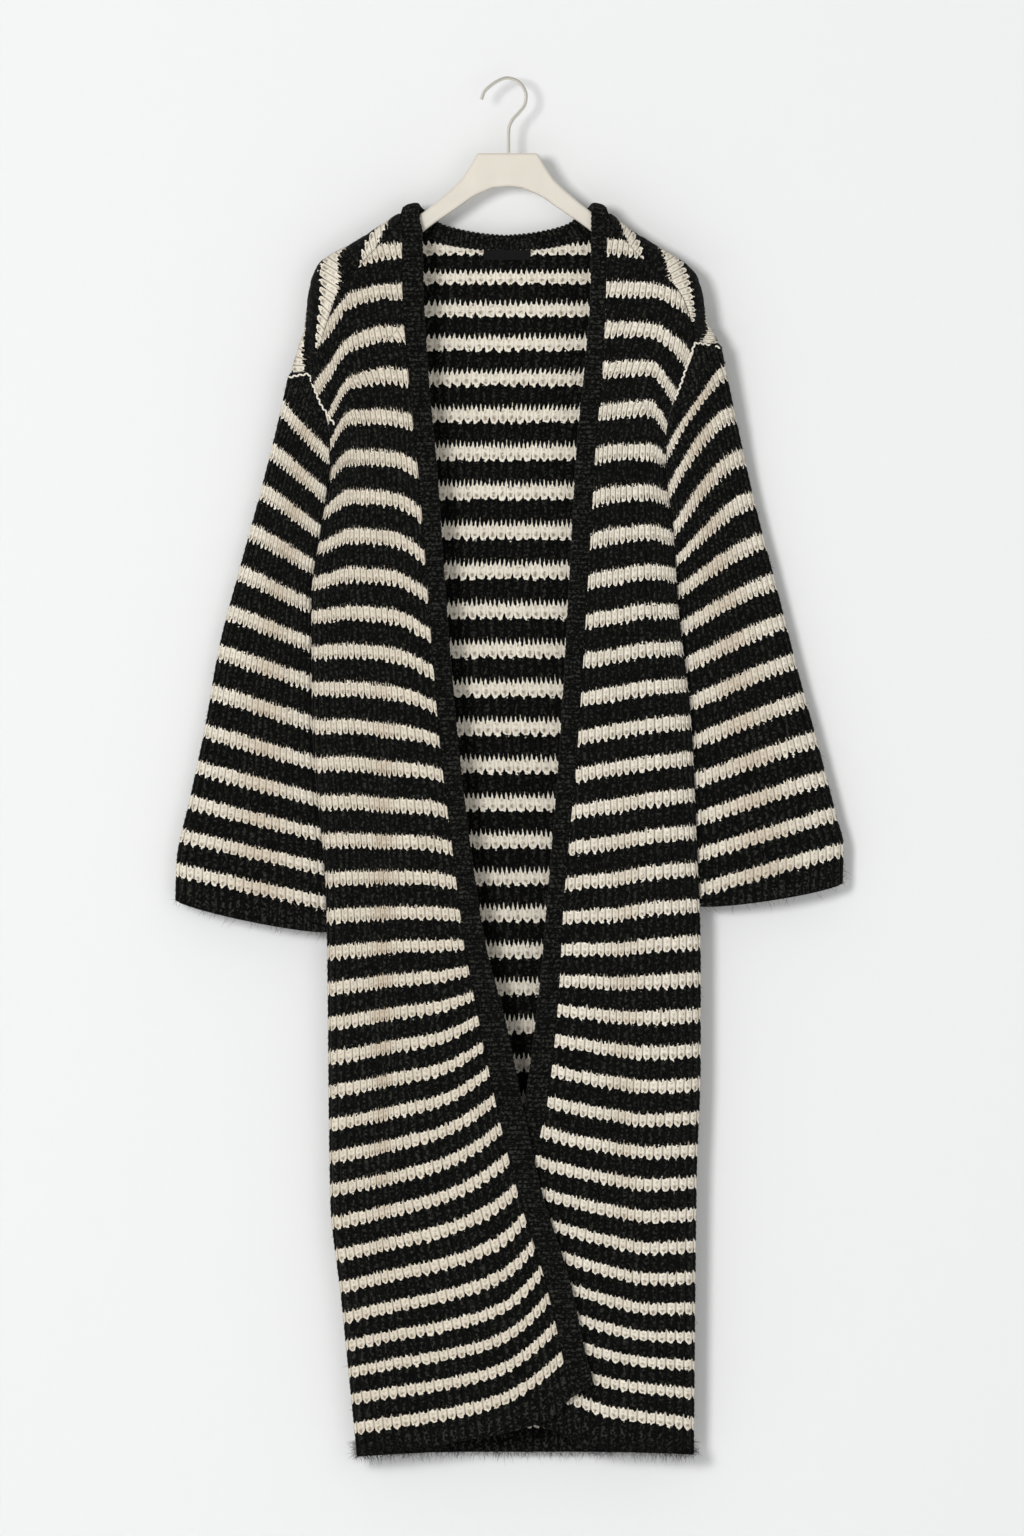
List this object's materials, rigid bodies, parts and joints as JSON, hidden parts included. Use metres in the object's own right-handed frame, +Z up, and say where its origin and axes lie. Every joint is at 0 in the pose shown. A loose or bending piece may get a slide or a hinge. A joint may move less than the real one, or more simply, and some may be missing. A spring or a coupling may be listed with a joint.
{
  "type": "duster cardigan on a hanger",
  "caption": "Ankle-length open-front duster cardigan in striped chunky rib knit, with wide bell sleeves and a ribbed front band, hanging on a flat hanger with a wire hook.",
  "frame": {"origin": "Inside of the bow of the hanger's wire hook, where the hanger hangs on a rail or a wall hook.", "axes": "+Z up, +X to the right of someone facing the cardigan's front, +Y toward the cardigan's back and the wall behind it."},
  "size_m": [0.6667, 0.0677, 1.3813],
  "materials": {
    "knit": "brushed wool-blend rib knit, black with cream stripes",
    "satin": "black satin ribbon",
    "hanger": "cream satin paint",
    "wire": "satin warm nickel"
  },
  "bodies": {
    "root": {"back": "knit", "right_front": "knit", "left_front": "knit", "right_sleeve": "knit", "left_sleeve": "knit", "front_band": "knit", "neck_label": "satin", "hanger_body": "hanger", "hanger_hook": "wire"}
  },
  "joints": []
}
